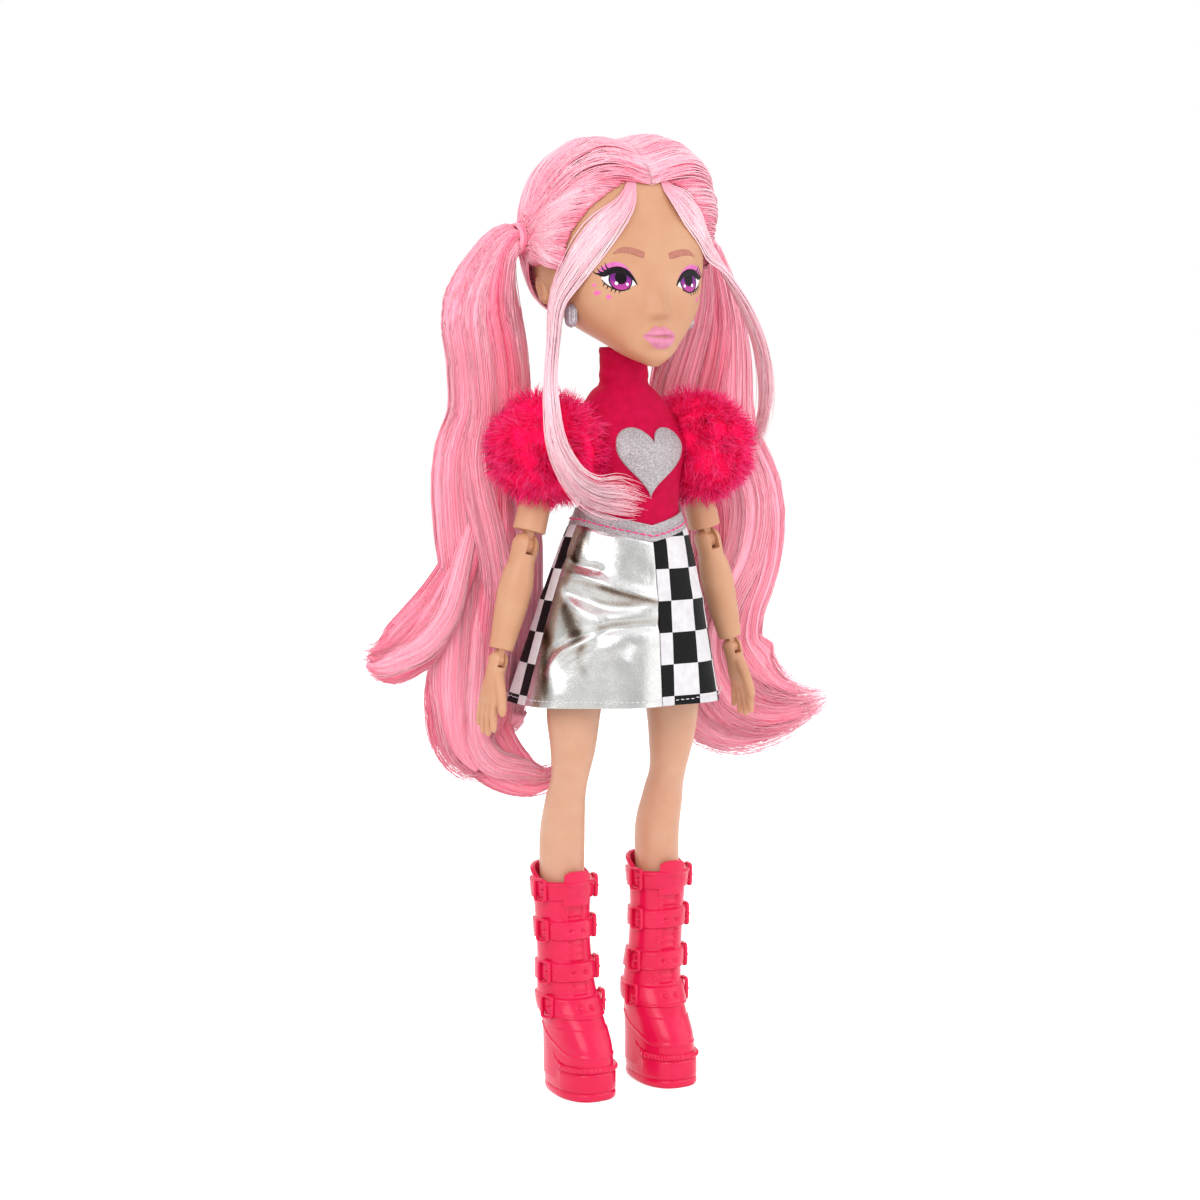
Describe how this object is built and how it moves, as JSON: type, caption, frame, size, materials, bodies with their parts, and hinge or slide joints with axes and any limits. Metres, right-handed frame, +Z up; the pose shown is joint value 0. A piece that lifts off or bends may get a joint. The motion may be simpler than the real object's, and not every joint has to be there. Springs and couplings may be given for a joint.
{
  "type": "fashion doll",
  "caption": "Jointed fashion doll with long pigtails, fur sleeves, foil and checker skirt and buckled platform boots.",
  "frame": {"origin": "on the floor under the middle of the outline of the standing doll", "axes": "+Z up along the body, -Y the way the doll faces, +X the left side of the doll"},
  "size_m": [0.1352, 0.0546, 0.2646],
  "materials": {
    "skin": "satin moulded plastic, peach",
    "leg_skin": "soft satin vinyl, peach",
    "face_vinyl": "satin rotocast vinyl with painted features",
    "hair": "silky straight fibre, pink",
    "pale_hair": "silky fibre, pale pink",
    "jersey": "fine knit jersey, magenta",
    "fur": "long soft pile, hot pink",
    "glitter_cloth": "fine silver glitter on cloth",
    "foil_cloth": "mirror-like silver foil on cloth",
    "checker_cloth": "smooth cloth in black and white squares",
    "closure": "hook and loop tape",
    "boot_vinyl": "glossy coral pink vinyl",
    "elastic": "pink elastic",
    "earring": "silver grey with glitter",
    "inner_plastic": "moulded peg plastic",
    "pin_steel": "plain steel"
  },
  "bodies": {
    "torso": {"torso_front": "skin", "torso_back": "skin", "bodice": "jersey", "heart_patch": "glitter_cloth", "back_closure": "closure", "waistband": "glitter_cloth", "skirt_front_foil": "foil_cloth", "skirt_front_checker": "checker_cloth", "skirt_back_checker": "checker_cloth"},
    "neck_knob": {"neck_knob": "inner_plastic"},
    "head": {"head": "face_vinyl", "hair_cap": "hair", "left_pigtail": "hair", "right_pigtail": "hair", "left_tendril": "pale_hair", "right_tendril": "pale_hair", "left_hair_elastic": "elastic", "right_hair_elastic": "elastic", "left_earring": "earring", "right_earring": "earring"},
    "left_shoulder_hub": {"left_shoulder_hub": "inner_plastic"},
    "left_upper_arm": {"left_upper_arm": "skin", "left_fur_sleeve": "fur", "left_shoulder_pin": "pin_steel"},
    "left_elbow_hub": {"left_elbow_hub": "inner_plastic"},
    "left_forearm": {"left_forearm": "skin", "left_elbow_pin": "pin_steel"},
    "left_wrist_hub": {"left_wrist_hub": "inner_plastic"},
    "left_hand": {"left_hand": "skin", "left_wrist_pin": "pin_steel"},
    "left_hip_hub": {"left_hip_hub": "inner_plastic"},
    "left_leg": {"left_leg": "leg_skin", "left_boot": "boot_vinyl", "left_hip_pin": "pin_steel"},
    "right_shoulder_hub": {"right_shoulder_hub": "inner_plastic"},
    "right_upper_arm": {"right_upper_arm": "skin", "right_fur_sleeve": "fur", "right_shoulder_pin": "pin_steel"},
    "right_elbow_hub": {"right_elbow_hub": "inner_plastic"},
    "right_forearm": {"right_forearm": "skin", "right_elbow_pin": "pin_steel"},
    "right_wrist_hub": {"right_wrist_hub": "inner_plastic"},
    "right_hand": {"right_hand": "skin", "right_wrist_pin": "pin_steel"},
    "right_hip_hub": {"right_hip_hub": "inner_plastic"},
    "right_leg": {"right_leg": "leg_skin", "right_boot": "boot_vinyl", "right_hip_pin": "pin_steel"}
  },
  "joints": [
    {"name": "neck_turn", "type": "hinge", "parent": "torso", "child": "neck_knob", "pos_m": [0, -0.00575, 0.2018], "axis": [0, 0, 1], "range_deg": [-70, 70], "deforming": ["left_pigtail", "right_pigtail", "left_tendril", "right_tendril"]},
    {"name": "neck_nod", "type": "hinge", "parent": "neck_knob", "child": "head", "pos_m": [0, -0.00575, 0.212], "axis": [1, 0, 0], "range_deg": [-10, 12]},
    {"name": "left_shoulder_swing", "type": "hinge", "parent": "torso", "child": "left_shoulder_hub", "pos_m": [0.0203, -0.00315, 0.186], "axis": [-1, 0, 0], "range_deg": [-60, 150]},
    {"name": "left_shoulder_raise", "type": "hinge", "parent": "left_shoulder_hub", "child": "left_upper_arm", "pos_m": [0.0203, -0.00315, 0.186], "axis": [0, -1, 0], "range_deg": [-4, 75], "deforming": ["left_fur_sleeve"]},
    {"name": "left_elbow_twist", "type": "hinge", "parent": "left_upper_arm", "child": "left_elbow_hub", "pos_m": [0.02963, -0.00315, 0.15237], "axis": [0.2672, 0, -0.9636], "range_deg": [-90, 90]},
    {"name": "left_elbow_bend", "type": "hinge", "parent": "left_elbow_hub", "child": "left_forearm", "pos_m": [0.02963, -0.00315, 0.15237], "axis": [-0.9636, 0, -0.2672], "range_deg": [0, 85]},
    {"name": "left_wrist_twist", "type": "hinge", "parent": "left_forearm", "child": "left_wrist_hub", "pos_m": [0.03814, -0.00315, 0.12168], "axis": [0.2672, 0, -0.9636], "range_deg": [-90, 90]},
    {"name": "left_wrist_bend", "type": "hinge", "parent": "left_wrist_hub", "child": "left_hand", "pos_m": [0.03814, -0.00315, 0.12168], "axis": [-0.9636, 0, -0.2672], "range_deg": [-45, 45]},
    {"name": "left_hip_swing", "type": "hinge", "parent": "torso", "child": "left_hip_hub", "pos_m": [0.0125, -0.00575, 0.138], "axis": [-1, 0, 0], "range_deg": [-22, 10]},
    {"name": "left_hip_spread", "type": "hinge", "parent": "left_hip_hub", "child": "left_leg", "pos_m": [0.0125, -0.00575, 0.138], "axis": [0, -1, 0], "range_deg": [-1.5, 3]},
    {"name": "right_shoulder_swing", "type": "hinge", "parent": "torso", "child": "right_shoulder_hub", "pos_m": [-0.0203, -0.00315, 0.186], "axis": [-1, 0, 0], "range_deg": [-60, 150]},
    {"name": "right_shoulder_raise", "type": "hinge", "parent": "right_shoulder_hub", "child": "right_upper_arm", "pos_m": [-0.0203, -0.00315, 0.186], "axis": [0, 1, 0], "range_deg": [-4, 75], "deforming": ["right_fur_sleeve"]},
    {"name": "right_elbow_twist", "type": "hinge", "parent": "right_upper_arm", "child": "right_elbow_hub", "pos_m": [-0.02963, -0.00315, 0.15237], "axis": [-0.2672, 0, -0.9636], "range_deg": [-90, 90]},
    {"name": "right_elbow_bend", "type": "hinge", "parent": "right_elbow_hub", "child": "right_forearm", "pos_m": [-0.02963, -0.00315, 0.15237], "axis": [-0.9636, 0, 0.2672], "range_deg": [0, 85]},
    {"name": "right_wrist_twist", "type": "hinge", "parent": "right_forearm", "child": "right_wrist_hub", "pos_m": [-0.03814, -0.00315, 0.12168], "axis": [-0.2672, 0, -0.9636], "range_deg": [-90, 90]},
    {"name": "right_wrist_bend", "type": "hinge", "parent": "right_wrist_hub", "child": "right_hand", "pos_m": [-0.03814, -0.00315, 0.12168], "axis": [-0.9636, 0, 0.2672], "range_deg": [-45, 45]},
    {"name": "right_hip_swing", "type": "hinge", "parent": "torso", "child": "right_hip_hub", "pos_m": [-0.0125, -0.00575, 0.138], "axis": [-1, 0, 0], "range_deg": [-22, 10]},
    {"name": "right_hip_spread", "type": "hinge", "parent": "right_hip_hub", "child": "right_leg", "pos_m": [-0.0125, -0.00575, 0.138], "axis": [0, 1, 0], "range_deg": [-1.5, 3]}
  ]
}
